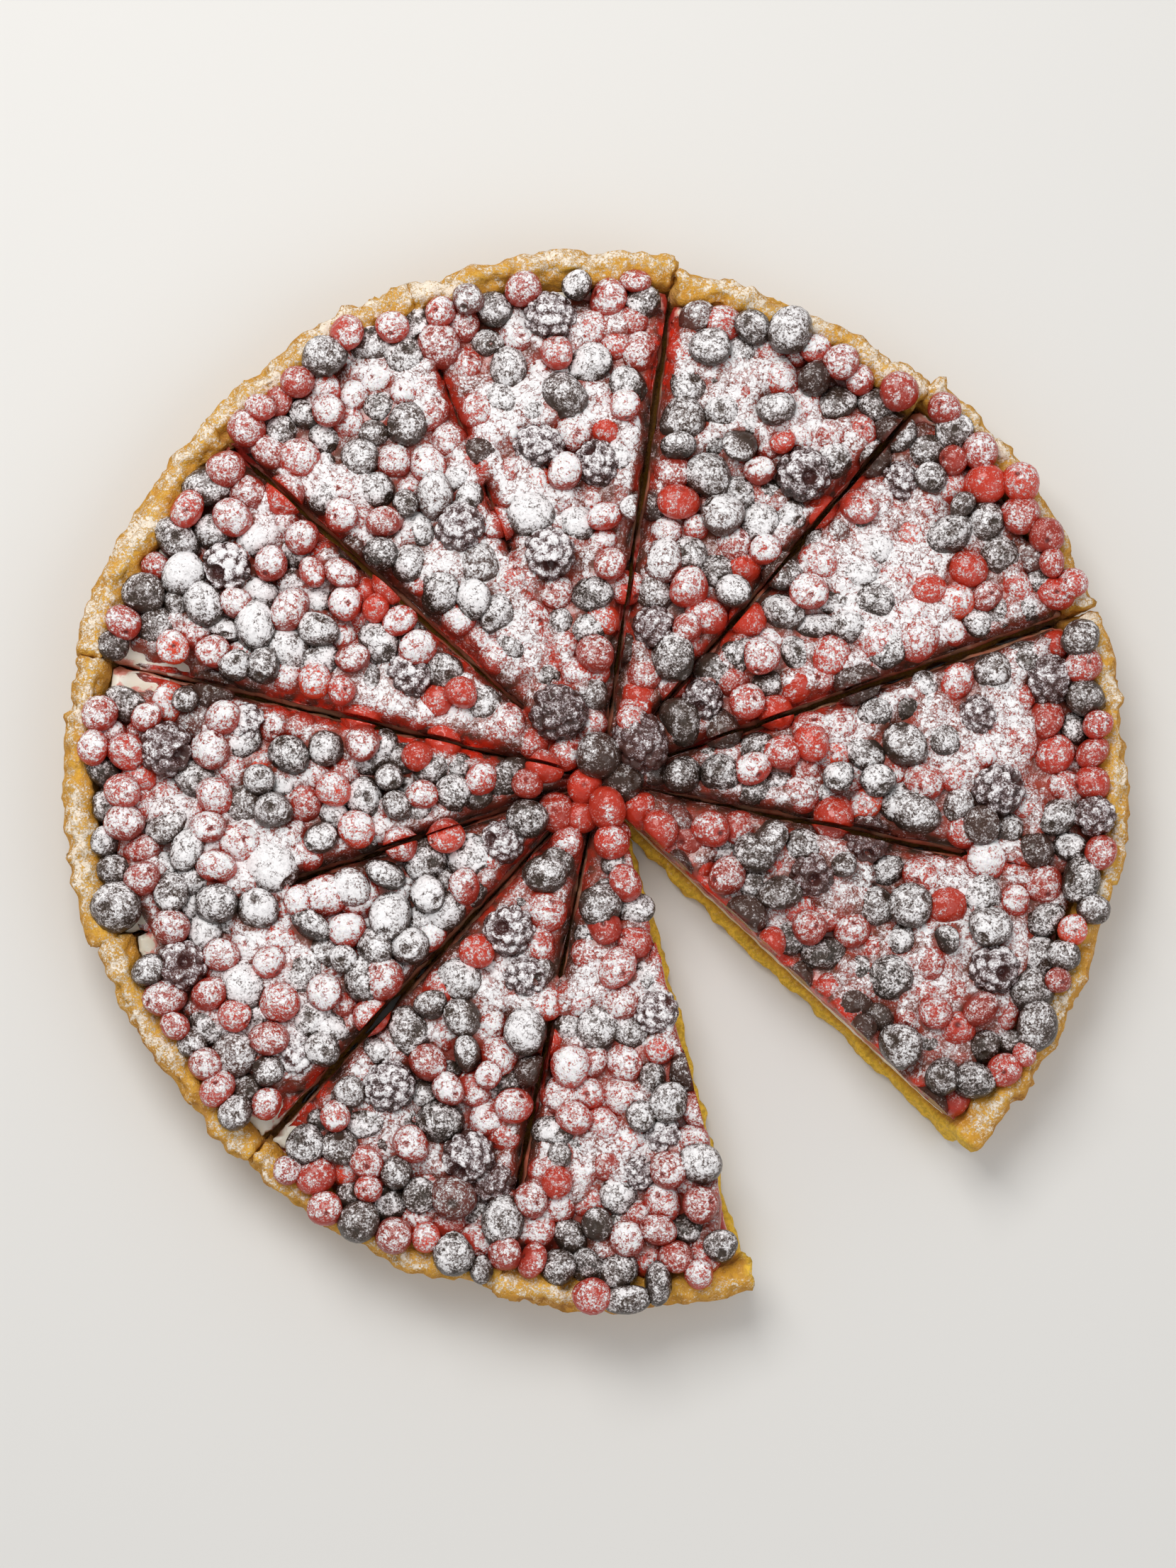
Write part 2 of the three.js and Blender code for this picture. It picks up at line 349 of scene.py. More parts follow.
def near_stretches(table, points, close, reach):
    """1 beside the listed stretches of the cuts, falling to 0 at the given reach."""
    distance = from_hub(points) / MM
    total = np.zeros(len(points))
    for cut, stretches in table.items():
        near = fade(from_cut(cut, points), close, reach)
        for start, end in stretches:
            along = rise(distance, start - STRETCH_BLUR, start + STRETCH_BLUR)
            along *= fade(distance, end - STRETCH_BLUR, end + STRETCH_BLUR)
            total = np.maximum(total, near * along)
    return total


def juiciness(points):
    """1 where the knife drew juice out, along parts of the cuts."""
    wet = 0.6 * near_stretches(WET, points, 0.4 * MM, 3 * MM)
    return np.maximum(wet, near_stretches(RUNNING, points, 0.4 * MM, 3.6 * MM))


def bareness(points):
    """1 where berries came away beside the outer end of a cut and the cream shows."""
    return near_stretches(BARE, points, 3.5 * MM, 6 * MM)


# How the sugar grows across the tart, towards where most of it fell.
MOST_SUGAR = np.array([-0.065, 0.045])


def sugar_fall(points):
    """How much sugar fell at each point, from 0 to 1: most half way out and at the back
    on the left, less at the hub, by the first open wall and along the cuts."""
    radius = from_hub(points)
    amount = 0.52 + 0.18 * rise(radius, 12 * MM, 66 * MM)
    amount -= 0.14 * rise(radius, 104 * MM, 134 * MM)
    amount += (points[:, :2] - hub) @ MOST_SUGAR / TART_RADIUS
    beside_first = fade(portions[0].walls[0].depth(points), 12 * MM, 40 * MM)
    amount -= 0.15 * rise(portions[0].depth(points), -8 * MM, 8 * MM) * beside_first
    flat = points * [1, 1, 0]
    amount += 0.06 * grain(flat, 34 * MM, 5) + 0.07 * grain(flat, 12 * MM, 6)
    amount = amount - 0.3 * cut_nearness(points, KNIFE_REACH) - 0.35 * juiciness(points)
    return np.clip(amount, 0.02, 1)


# ---- meshes ----

def add_object(name, data):
    """A new object in the scene."""
    added = bpy.data.objects.new(name, data)
    bpy.context.scene.collection.objects.link(added)
    return added


def make_piece(name, points, faces, material, slot, replaced=(), **values):
    """A smooth-shaded piece on the tart's body, with numbers kept at its vertices."""
    mesh = bpy.data.meshes.new(name)
    mesh.vertices.add(len(points))
    mesh.vertices.foreach_set("co", np.asarray(points, np.float32).ravel())
    mesh.loops.add(faces.size)
    mesh.loops.foreach_set("vertex_index", faces.astype(np.int32).ravel())
    mesh.polygons.add(len(faces))
    mesh.polygons.foreach_set("loop_start", np.arange(len(faces), dtype=np.int32) * faces.shape[1])
    mesh.polygons.foreach_set("use_smooth", np.ones(len(faces), bool))
    mesh.update(calc_edges=True)
    mesh.validate()
    for key, numbers in values.items():
        attribute = mesh.attributes.new(key, "FLOAT", "POINT")
        attribute.data.foreach_set("value", np.asarray(numbers, np.float32).ravel())
    piece = add_object(name, mesh)
    mesh.materials.append(material)
    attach(piece, "root")
    if replaced:
        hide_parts(*replaced)


def mesh_arrays(mesh):
    """A mesh's points, its vertex normals and its faces as triangles."""
    mesh.calc_loop_triangles()
    faces = read_rows(mesh.loop_triangles, "vertices", np.int32)
    return read_rows(mesh.vertices, "co"), read_rows(mesh.vertices, "normal"), faces


def remeshed(mesh, voxel):
    """Points, normals and triangles of an even, closed mesh over a rough one."""
    rough = add_object("rough", mesh)
    remesh = rough.modifiers.new("even", "REMESH")
    remesh.mode = "VOXEL"
    remesh.voxel_size = voxel
    evaluated = rough.evaluated_get(bpy.context.evaluated_depsgraph_get())
    even = bpy.data.meshes.new_from_object(evaluated)
    arrays = mesh_arrays(even)
    bpy.data.objects.remove(rough)
    bpy.data.meshes.remove(even)
    return arrays


def prism(outline, low, high):
    """A mesh with a flat outline, from one height to another."""
    count = len(outline)
    bottom = [(x, y, low) for x, y in outline]
    top = [(x, y, high) for x, y in outline]
    sides = [(i, (i + 1) % count, count + (i + 1) % count, count + i) for i in range(count)]
    caps = [tuple(reversed(range(count))), tuple(range(count, 2 * count))]
    mesh = bpy.data.meshes.new("prism")
    mesh.from_pydata(bottom + top, [], sides + caps)
    return mesh


def ball(polar_angles, segments):
    """Directions and triangles of a sphere with rings at the given angles from +Z."""
    directions = [(0, 0, 1)]
    for angle in polar_angles:
        for i in range(segments):
            turn = FULL_TURN * i / segments
            across = math.sin(angle)
            directions.append((across * math.cos(turn), across * math.sin(turn), math.cos(angle)))
    directions.append((0, 0, -1))
    last = len(directions) - 1
    faces = []
    for i in range(segments):
        j = (i + 1) % segments
        faces.append((0, 1 + i, 1 + j))
        for ring in range(len(polar_angles) - 1):
            upper = 1 + ring * segments
            lower = upper + segments
            faces.append((upper + i, lower + i, lower + j))
            faces.append((upper + i, lower + j, upper + j))
        bottom = 1 + (len(polar_angles) - 1) * segments
        faces.append((bottom + i, last, bottom + j))
    return np.array(directions, float), np.array(faces)


def fine_ball(subdivisions):
    """Directions and triangles of an even sphere."""
    form = bmesh.new()
    bmesh.ops.create_icosphere(form, subdivisions=subdivisions, radius=1)
    directions = np.array([vertex.co[:] for vertex in form.verts])
    faces = np.array([[vertex.index for vertex in face.verts] for face in form.faces])
    form.free()
    return directions, faces


def turned_to(poles, spins):
    """Rotations that take +Z to each pole, after a spin about +Z."""
    side = unit(np.cross(poles, np.where(abs(poles[:, 2:]) < 0.9, [[0, 0, 1]], [[1, 0, 0]])))
    other = np.cross(poles, side)
    cos = np.cos(spins)[:, None]
    sin = np.sin(spins)[:, None]
    first = cos * side + sin * other
    second = np.cross(poles, first)
    return np.stack([first, second, poles], -1)


# ---- packing the berries ----

RED, DARK, BRAMBLE = 0, 1, 2
RED_SHARE = 0.53
BRAMBLE_SHARE = 0.015

# Each kind's usual radius, its spread, the least and the most, in millimetres.
BERRY_SIZES = {RED: (4.75, 0.5, 3.5, 6.0), DARK: (5.0, 0.7, 3.6, 6.6), BRAMBLE: (6.0, 0.5, 5.2, 6.8)}

# Between which heights berries lie, and how many times over they would cover the tart.
BERRY_FLOOR = CREAM_TOP + 0.3 * MM
BERRY_CEILING = 30.4 * MM
FILL = 1.3

# How often berries are pushed apart, how close two may come, as a share of both radii,
# and how far each moves out near the rim and sinks at a time.
ROUNDS = 260
CLOSENESS = 0.88
OUTWARD = 0.12 * MM
SINK = 0.12 * MM

# How near the hub berries stay whole, and how near it none is dark. Beside a closed cut,
# how often a berry is pushed clear and not sliced, and how often it is lost.
HUB_REACH = 13 * MM
HEART_REACH = 5 * MM
CLEAR_CHANCE = 0.65
POCKET_CHANCE = 0.04


def draw_berries():
    """Kinds, radii and first places: the frame's brambles, then enough loose berries
    to cover the tart, the taken portion's share as well."""
    lows, highs = np.array([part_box(name) for name in BRAMBLES]).swapaxes(0, 1)
    places = list((lows + highs) / 2)
    radii = list((highs - lows)[:, :2].mean(1) / 2)
    kinds = [BRAMBLE] * len(BRAMBLES)
    reach = heap_edge.mean()
    room = FILL * math.pi * reach ** 2 - sum(math.pi * radius ** 2 for radius in radii)
    while room > 0:
        pick = rng.random()
        kind = RED if pick < RED_SHARE else DARK if pick < 1 - BRAMBLE_SHARE else BRAMBLE
        usual, spread, least, most = BERRY_SIZES[kind]
        radius = np.clip(rng.normal(usual, spread), least, most) * MM
        distance = reach * math.sqrt(rng.random())
        angle = FULL_TURN * rng.random()
        height = BERRY_FLOOR + radius + rng.random() * 5 * MM
        places.append((hub[0] + distance * math.cos(angle), hub[1] + distance * math.sin(angle), height))
        radii.append(radius)
        kinds.append(kind)
        room -= math.pi * radius ** 2
    return np.array(kinds), np.array(radii), np.array(places, float)


def keep_in_tart(places, radii, loose, strays):
    """Holds berries near the heap's outline, over the rim's inner edge, between the
    cream and the top of the heap."""
    limit = around(heap_edge, places) + strays - 0.95 * radii
    squeeze = np.minimum(1, limit / np.maximum(from_hub(places), 1e-6))[:, None]
    held = hub + (places[:, :2] - hub) * squeeze
    past_edge = from_hub(held) - around(rim_inside, held)
    over_rim = rise(past_edge / radii, -0.9, 0.1)
    on_cream = BERRY_FLOOR + 0.75 * radii
    on_rim = around(rim_crest, held) - 1.6 * MM + 0.8 * radii
    floor = on_cream + over_rim * np.maximum(on_rim - on_cream, 0)
    height = np.maximum(np.minimum(places[:, 2], BERRY_CEILING - radii), floor)
    return np.where(loose[:, None], np.c_[held, height], places)


def close_pairs(places, radii):
    """Pairs of berries that touch or may soon."""
    gap = np.linalg.norm(places[:, None] - places[None], axis=-1)
    near = gap < 1.25 * (radii[:, None] + radii[None])
    return np.argwhere(np.triu(near, 1)).T


def settle(places, radii, loose):
    """Pushes berries apart, lets them sink and holds them in the tart, many times."""
    places = places.copy()
    strays = rng.normal(3.5, 1.5, len(places)) * MM
    for turn in range(ROUNDS):
        calm = 1 - turn / ROUNDS
        if turn % 8 == 0:
            first, second = close_pairs(places, radii)
        apart = places[first] - places[second]
        gap = np.maximum(np.linalg.norm(apart, axis=1), 1e-9)
        overlap = np.clip(CLOSENESS * (radii[first] + radii[second]) - gap, 0, None)
        push = apart * (0.5 * overlap / gap)[:, None]
        moved = np.zeros_like(places)
        share = np.ones(len(places))
        for berries, way in ((first, push), (second, -push)):
            np.add.at(moved, berries, way)
            np.add.at(share, berries, overlap > 0)
        moved *= (1.7 / np.sqrt(share))[:, None]
        moved[:, 2] -= SINK * calm
        outward = unit(places[:, :2] - hub)
        spread = rise(from_hub(places), 95 * MM, 122 * MM) * calm
        moved[:, :2] += outward * (spread * OUTWARD)[:, None]
        places += np.where(loose[:, None], moved, 0)
        places = keep_in_tart(places, radii, loose, strays)
    return places


def share_at_open_wall(number, depth, radius, normal):
    """How a berry by the taken portion's space is left: its move and whether it is
    sliced, or None where it went with that portion."""
    if depth < -0.35 * radius:
        return None
    if number == 0 or depth < 0.2 * radius:
        return 0 * normal, True
    return normal * max(0.8 * radius - depth - rng.uniform(0.2, 1.8) * MM, 0), False


def share_at_closed_wall(depth, radius, normal):
    """How a berry beside a closed cut is left: pushed clear of it, or sliced."""
    if depth > 0.3 * radius or rng.random() < CLEAR_CHANCE:
        return normal * (radius - depth + rng.uniform(-0.8, 1.2) * MM), False
    return 0 * normal, True


def cut_berries(radii, places):
    """The shares of the berries as the knife left them: for each its berry, portion and
    place, and whether it is sliced."""
    shares = []
    depths = np.array([portion.depth(places) for portion in portions])
    owners = depths.argmax(0)
    distances = from_hub(places)
    for i, (radius, place, owner) in enumerate(zip(radii, places, owners)):
        if bareness(place[None])[0] > 0.3:
            continue
        if i < len(BRAMBLES) or distances[i] < HUB_REACH:
            if depths[owner, i] > -1.5 * MM:
                shares.append((i, owner, place, False))
            continue
        moved = place.copy()
        sliced = False
        gone = False
        for side, wall in enumerate(portions[owner].walls):
            depth = wall.depth(place[None])[0]
            normal = wall.normal(place[None])[0]
            if depth > radius:
                continue
            if (owner, side) in OPEN_WALLS:
                left = share_at_open_wall(owner, depth, radius, normal)
                gone = left is None
                if not gone:
                    moved[:2] += left[0]
                    sliced |= left[1]
            elif not closed_up(owner - 1 + side, distances[i]):
                shift, halved = share_at_closed_wall(depth, radius, normal)
                moved[:2] += shift
                sliced |= halved
                neighbour = owner - 1 + 2 * side
                gone |= rng.random() < POCKET_CHANCE
                if halved and depths[neighbour, i] > -0.75 * radius:
                    shares.append((i, neighbour, place - [*(normal * 0.6 * MM), 0], True))
        if not gone:
            shares.append((i, owner, moved, sliced))
    return [np.array(column) for column in zip(*shares)]


kinds, radii, places = draw_berries()
places = settle(places, radii, np.arange(len(kinds)) >= len(BRAMBLES))
kinds[(kinds == DARK) & (from_hub(places) < HEART_REACH)] = RED
share_berry, share_portion, share_place, share_sliced = cut_berries(radii, places)
wet_chance = np.where(share_sliced, 0.35, 0.03) + 0.8 * juiciness(share_place)
share_wet = rng.random(len(wet_chance)) < wet_chance
share_trim = rng.uniform(-0.8, 0.2, len(wet_chance)) * MM


def slice_flat(points, chosen):
    """Moves the points of berries, by vertex and axis, back onto their portion's walls.
    Returns them and how far each was moved."""
    moved = np.zeros(points.shape[:2])
    for number, portion in enumerate(portions):
        rows = np.flatnonzero((share_portion[chosen] == number) & share_sliced[chosen])
        if not len(rows):
            continue
        for wall in portion.walls:
            flat = points[rows].reshape(-1, 3)
            trim = np.repeat(share_trim[chosen[rows]], points.shape[1])
            beyond = np.clip(trim - wall.depth(flat), 0, None)
            shift = wall.normal(flat) * beyond[:, None]
            points[rows, :, :2] += shift.reshape(len(rows), -1, 2)
            moved[rows] = np.maximum(moved[rows], beyond.reshape(len(rows), -1))
    return points, moved


MAP_STEP = 0.5 * MM
MAP_HALF = 150 * MM
MAP_CELLS = int(2 * MAP_HALF / MAP_STEP)


def map_cells(spots):
    """The cells of the height map that hold each spot."""
    return np.clip(((spots + MAP_HALF) / MAP_STEP).astype(int), 0, MAP_CELLS - 1)


def draw_height_map():
    """The height of the highest berry over each cell of a square grid."""
    heights = np.zeros((MAP_CELLS, MAP_CELLS))
    for berry, place in zip(share_berry, share_place):
        reach = radii[berry] * 0.97
        low = map_cells(place[:2] - reach)
        high = map_cells(place[:2] + reach) + 1
        x = (np.arange(low[0], high[0]) + 0.5) * MAP_STEP - MAP_HALF - place[0]
        y = (np.arange(low[1], high[1]) + 0.5) * MAP_STEP - MAP_HALF - place[1]
        square = reach ** 2 - x[:, None] ** 2 - y[None] ** 2
        cap = np.where(square > 0, place[2] + np.sqrt(np.clip(square, 0, None)), 0)
        window = heights[low[0]:high[0], low[1]:high[1]]
        np.maximum(window, cap, out=window)
    return heights


berry_tops = draw_height_map()


def open_sky(points):
    """1 where nothing lies over a point, 0 where a berry shelters it."""
    cells = map_cells(points[:, :2])
    cover = berry_tops[cells[:, 0], cells[:, 1]] - points[:, 2]
    return fade(cover, 0.5 * MM, 2.2 * MM)


# ---- materials ----

def set_inputs(node, **settings):
    """Gives plain values to a node's inputs, with _ for each space in their names."""
    for name, value in settings.items():
        node.inputs[name.replace("_", " ")].default_value = value


class Nodes:
    """A new material whose tone is painted in layers, and short ways to add shader nodes
    to it. A value is a number or colour, a socket, or the name of a number kept at the
    mesh's vertices."""

    def __init__(self, name):
        self.material = bpy.data.materials.new(name)
        self.material.use_nodes = True
        self.tree = self.material.node_tree
        self.shader = self.tree.nodes["Principled BSDF"]
        self.place = self.tree.nodes.new("ShaderNodeTexCoord").outputs["Object"]

    def add(self, kind, **settings):
        """A new node, with plain values for some of its inputs."""
        node = self.tree.nodes.new("ShaderNode" + kind)
        set_inputs(node, **settings)
        return node

    def put(self, socket, value):
        """Gives a socket its value."""
        if isinstance(value, str):
            node = self.add("Attribute")
            node.attribute_name = value
            value = node.outputs["Fac"]
        if isinstance(value, bpy.types.NodeSocket):
            self.tree.links.new(value, socket)
        elif socket.type == "RGBA":
            socket.default_value = (*value, 1.0)
        else:
            socket.default_value = value

    def noise(self, size, detail=3.0, roughness=0.55, stretch=None):
        """Noise from 0 to 1 with lumps of about the given size."""
        node = self.add("TexNoise", Scale=1 / size, Detail=detail, Roughness=roughness)
        place = self.place
        if stretch:
            mapping = self.add("Mapping", Scale=stretch)
            self.put(mapping.inputs["Vector"], place)
            place = mapping.outputs["Vector"]
        self.put(node.inputs["Vector"], place)
        return node.outputs["Fac"]

    def cells(self, size):
        """The distance to the middle of the nearest cell, in cell sizes."""
        node = self.add("TexVoronoi", Scale=1 / size)
        self.put(node.inputs["Vector"], self.place)
        return node.outputs["Distance"]

    def facing(self, direction):
        """How far the surface faces a direction, from -1 to 1."""
        product = self.add("VectorMath")
        product.operation = "DOT_PRODUCT"
        self.put(product.inputs[0], self.add("NewGeometry").outputs["Normal"])
        product.inputs[1].default_value = direction
        return product.outputs["Value"]

    def sum(self, first, second):
        return self.math("ADD", first, second)

    def times(self, first, second):
        return self.math("MULTIPLY", first, second)

    def math(self, operation, first, second):
        node = self.add("Math")
        node.operation = operation
        self.put(node.inputs[0], first)
        self.put(node.inputs[1], second)
        return node.outputs[0]

    def ramp(self, value, low, high, start=0.0, end=1.0):
        """The value's place between low and high as a smooth step from start to end."""
        node = self.add("MapRange", From_Min=low, From_Max=high, To_Min=start, To_Max=end)
        node.interpolation_type = "SMOOTHSTEP"
        self.put(node.inputs["Value"], value)
        return node.outputs["Result"]

    def mix(self, share, first, second):
        """A blend of two colours, in sockets that share their names with others."""
        node = self.add("Mix")
        node.data_type = "RGBA"
        self.put(node.inputs[0], share)
        self.put(node.inputs[6], first)
        self.put(node.inputs[7], second)
        return node.outputs[2]

    def paint(self, share, colour):
        """Lays a colour over the tone so far."""
        self.tone = self.mix(share, self.tone, colour)

    def bump(self, height, distance, strength=1.0, below=None):
        node = self.add("Bump", Distance=distance, Strength=strength)
        self.put(node.inputs["Height"], height)
        if below is not None:
            self.put(node.inputs["Normal"], below)
        return node.outputs["Normal"]

    def surface(self, roughness, normal=None):
        self.put(self.shader.inputs["Base Color"], self.tone)
        self.put(self.shader.inputs["Roughness"], roughness)
        if normal is not None:
            self.put(self.shader.inputs["Normal"], normal)

    def glow(self, weight, radius, scale):
        """Lets some light through under the surface."""
        set_inputs(
            self.shader, Subsurface_Weight=weight, Subsurface_Radius=radius, Subsurface_Scale=scale
        )


SUGAR = (0.88, 0.86, 0.87)
# The way that surfaces face where the sugar lies thickest: up, tilted a little towards the back and the
# left.
SUGAR_THICKEST_FACING = (-0.08, 0.24, 0.967)


def add_sugar(nodes, stain, lowest=-0.1, full=0.84, creases=0.3, white=SUGAR):
    """Icing sugar: grains that close up where much sugar fell and the surface faces up,
    broken by fine creases, first thin and stained, then white. Returns how thick it is."""
    facing = nodes.ramp(nodes.facing(SUGAR_THICKEST_FACING), lowest, full)
    grains = nodes.ramp(nodes.noise(0.6 * MM, 4.0, 0.75), 0.33, 0.67)
    patches = nodes.ramp(nodes.noise(2.3 * MM, 3.0, 0.6), 0.34, 0.66)
    level = nodes.sum(nodes.times(grains, 0.6), nodes.times(patches, 0.4))
    level = nodes.sum(level, nodes.times("sugar", facing))
    fold = nodes.math("ABSOLUTE", nodes.math("SUBTRACT", nodes.noise(2.1 * MM, 2.0), 0.5), 0.0)
    level = nodes.sum(level, nodes.ramp(fold, 0.0, 0.05, -creases, 0.0))
    haze = nodes.ramp(level, 0.66, 1.0, 0.0, 0.75)
    thick = nodes.ramp(level, 0.82, 1.24)
    shaded = tuple(0.82 * part for part in white)
    powder = nodes.mix(nodes.ramp(nodes.noise(1.0 * MM, 3.0, 0.7), 0.36, 0.58), shaded, white)
    nodes.paint(haze, stain)
    nodes.paint(thick, powder)
    return thick


def berry_material(name, deep, bright, vivid, flesh, stain, mark, roughness, reddens, gloss):
    """Thin-skinned berries: skin that differs from berry to berry, a dry blossom end,
    wet flesh where they are sliced, and sugar on top."""
    nodes = Nodes(name)
    blotch = nodes.ramp(nodes.noise(4.5 * MM, 2.0), 0.35, 0.65, -0.15, 0.15)
    nodes.tone = nodes.mix(nodes.sum("tone", blotch), deep, bright)
    nodes.paint(nodes.ramp("tone", 0.88, 0.97), vivid)
    nodes.paint("mark", mark)
    nodes.paint("flesh", flesh)
    nodes.paint(nodes.times("wet", reddens), flesh)
    thick = add_sugar(nodes, stain)
    skin_rough = nodes.ramp("wet", 0.0, 1.0, roughness, 0.1)
    rough = nodes.math("MAXIMUM", nodes.times(thick, 0.9), skin_rough)
    wrinkles = nodes.bump(nodes.noise(2.2 * MM, 3.0, 0.5), 0.5 * MM, 0.8)
    nodes.surface(rough, nodes.bump(thick, 0.16 * MM, 0.8, wrinkles))
    set_inputs(nodes.shader, Specular_IOR_Level=gloss)
    return nodes


def red_berry_material():
    """Bright berries that let some light through."""
    nodes = berry_material(
        "red_berry", deep=(0.22, 0.023, 0.013), bright=(0.50, 0.035, 0.018), vivid=(0.64, 0.050, 0.016),
        flesh=(0.52, 0.033, 0.012), stain=(0.66, 0.23, 0.20), mark=(0.12, 0.015, 0.012),
        roughness=0.24, reddens=0.6, gloss=0.4,
    )
    nodes.glow(weight=0.12, radius=(1.0, 0.2, 0.1), scale=1.6 * MM)
    return nodes.material


def dark_berry_material():
    """Nearly black berries, a few of them dark red."""
    return berry_material(
        "dark_berry", deep=(0.024, 0.017, 0.012), bright=(0.056, 0.034, 0.025), vivid=(0.15, 0.032, 0.023),
        flesh=(0.12, 0.024, 0.016), stain=(0.37, 0.30, 0.29), mark=(0.04, 0.026, 0.018),
        roughness=0.24, reddens=0.15, gloss=0.35,
    ).material


def bramble_material():
    """Dark, glossy drupelets."""
    return berry_material(
        "bramble_skin", deep=(0.025, 0.016, 0.012), bright=(0.08, 0.026, 0.020), vivid=(0.2, 0.05, 0.045),
        flesh=(0.12, 0.024, 0.018), stain=(0.40, 0.28, 0.30), mark=(0.06, 0.018, 0.016),
        roughness=0.2, reddens=0.15, gloss=0.5,
    ).material


def jelly_material():
    """Red jelly, brightest where the knife drew it out, with sugar on top, and painted shade along the
    closed cuts that is less dark lower down their walls.
    """
    nodes = Nodes("jelly")
    blotch = nodes.ramp(nodes.noise(5 * MM, 3.0), 0.38, 0.62)
    nodes.tone = nodes.mix(blotch, (0.14, 0.048, 0.031), (0.29, 0.042, 0.023))
    # Painted shade: near-black brown along the closed cuts, standing in for the shade in the slots.
    nodes.paint("cut", nodes.mix(blotch, (0.036, 0.021, 0.014), (0.11, 0.022, 0.014)))
    # Lower down the cuts' walls, where the render's own shade falls, the painted shade is lighter.
    nodes.paint("depth", nodes.mix(blotch, (0.07, 0.036, 0.023), (0.16, 0.032, 0.019)))
    streak = nodes.ramp(nodes.noise(4.5 * MM, 4.0, 0.6, (1, 1, 0.4)), 0.38, 0.56)
    nodes.paint(nodes.times("juice", streak), (0.62, 0.030, 0.010))
    thick = add_sugar(nodes, stain=(0.64, 0.42, 0.42), lowest=0.1, full=0.9, creases=0.42)
    rough = nodes.math("MAXIMUM", nodes.times(thick, 0.9), 0.16)
    lumps = nodes.bump(nodes.noise(1.6 * MM, 3.0), 0.2 * MM)
    nodes.surface(rough, nodes.bump(thick, 0.15 * MM, 0.8, lumps))
    return nodes.material


def cream_material():
    """Set cream, stained red under the jelly and where the knife dragged juice."""
    nodes = Nodes("set_cream")
    cloud = nodes.ramp(nodes.noise(7 * MM, 3.0), 0.3, 0.7)
    nodes.tone = nodes.mix(cloud, (0.80, 0.74, 0.60), (0.86, 0.82, 0.72))
    streak = nodes.noise(3 * MM, 3.0, 0.6, (1, 1, 0.35))
    edge = nodes.sum("stain", nodes.times(nodes.math("SUBTRACT", streak, 0.5), 1.6))
    nodes.paint(nodes.ramp(edge, 0.35, 0.55), (0.72, 0.30, 0.24))
    nodes.paint(nodes.ramp(edge, 0.6, 0.85), (0.38, 0.03, 0.02))
    nodes.paint("soaked", nodes.mix(cloud, (0.36, 0.20, 0.12), (0.56, 0.14, 0.08)))
    pits = nodes.bump(nodes.cells(1.1 * MM), 0.05 * MM, 0.6)
    rough = nodes.ramp(cloud, 0, 1, 0.24, 0.38)
    nodes.surface(rough, nodes.bump(nodes.noise(2.4 * MM), 0.12 * MM, 0.7, pits))
    nodes.glow(weight=0.15, radius=(1.0, 0.7, 0.45), scale=1.5 * MM)
    return nodes.material


def pastry_material():
    """Shortcrust: amber inside the rim, paler on top and yellow where it is cut, dusted
    on top and stained by juice inside the cuts."""
    nodes = Nodes("shortcrust")
    crumb = nodes.noise(1.3 * MM, 4.0, 0.65)
    broad = nodes.noise(9 * MM, 3.0)
    nodes.tone = nodes.mix(nodes.ramp(broad, 0.35, 0.65), (0.62, 0.31, 0.022), (0.80, 0.45, 0.05))
    nodes.paint("amber", (0.56, 0.25, 0.014))
    nodes.paint(nodes.ramp(crumb, 0.35, 0.62, 0.5, 0.0), (0.40, 0.17, 0.03))
    split = nodes.mix(nodes.ramp(crumb, 0.38, 0.6), (0.58, 0.345, 0.015), (0.84, 0.515, 0.042))
    nodes.paint("fresh", split)
    nodes.paint(nodes.times("baked", nodes.ramp(broad, 0.3, 0.6, 0.3, 0.8)), (0.48, 0.19, 0.022))
    speck = nodes.times("baked", nodes.ramp(nodes.noise(2.6 * MM, 4.0, 0.7), 0.48, 0.6))
    nodes.paint(nodes.times(speck, 0.85), (0.26, 0.09, 0.012))
    nodes.paint(nodes.times("juice", nodes.ramp(crumb, 0.3, 0.6, 0.88, 1.0)), (0.38, 0.15, 0.09))
    thick = add_sugar(nodes, stain=(0.84, 0.50, 0.14), lowest=0.1, full=0.85, white=(0.92, 0.80, 0.65))
    grains = nodes.bump(nodes.noise(0.7 * MM, 4.0, 0.65), 0.3 * MM, 0.9)
    pits = nodes.bump(nodes.noise(2.2 * MM, 4.0, 0.7), 0.9 * MM, 0.9, grains)
    nodes.surface(nodes.ramp(crumb, 0.3, 0.7, 0.7, 0.9), nodes.bump(thick, 0.15 * MM, 0.8, pits))
    return nodes.material


# ---- the layers ----

PASTRY_GRID = 1.3 * MM
CREAM_GRID = 1.7 * MM
JELLY_GRID = 1.5 * MM
CORE_TOP = 25.0 * MM


def wall_nearness(points, reach):
    """1 at a portion's walls, falling to 0 at the given distance inside."""
    return fade(depth_in_tart(points), 0, reach)


def closed_wall_nearness(points, reach):
    """1 at a closed cut, falling to 0 at the given distance inside."""
    nearest = np.full(len(points), 1.0)
    for number, portion in enumerate(portions):
        for side, wall in enumerate(portion.walls):
            if (number, side) not in OPEN_WALLS:
                beside = portion.depth(points) > -2 * MM
                nearest = np.where(beside, np.minimum(nearest, abs(wall.depth(points))), nearest)
    return fade(nearest, 0, reach)


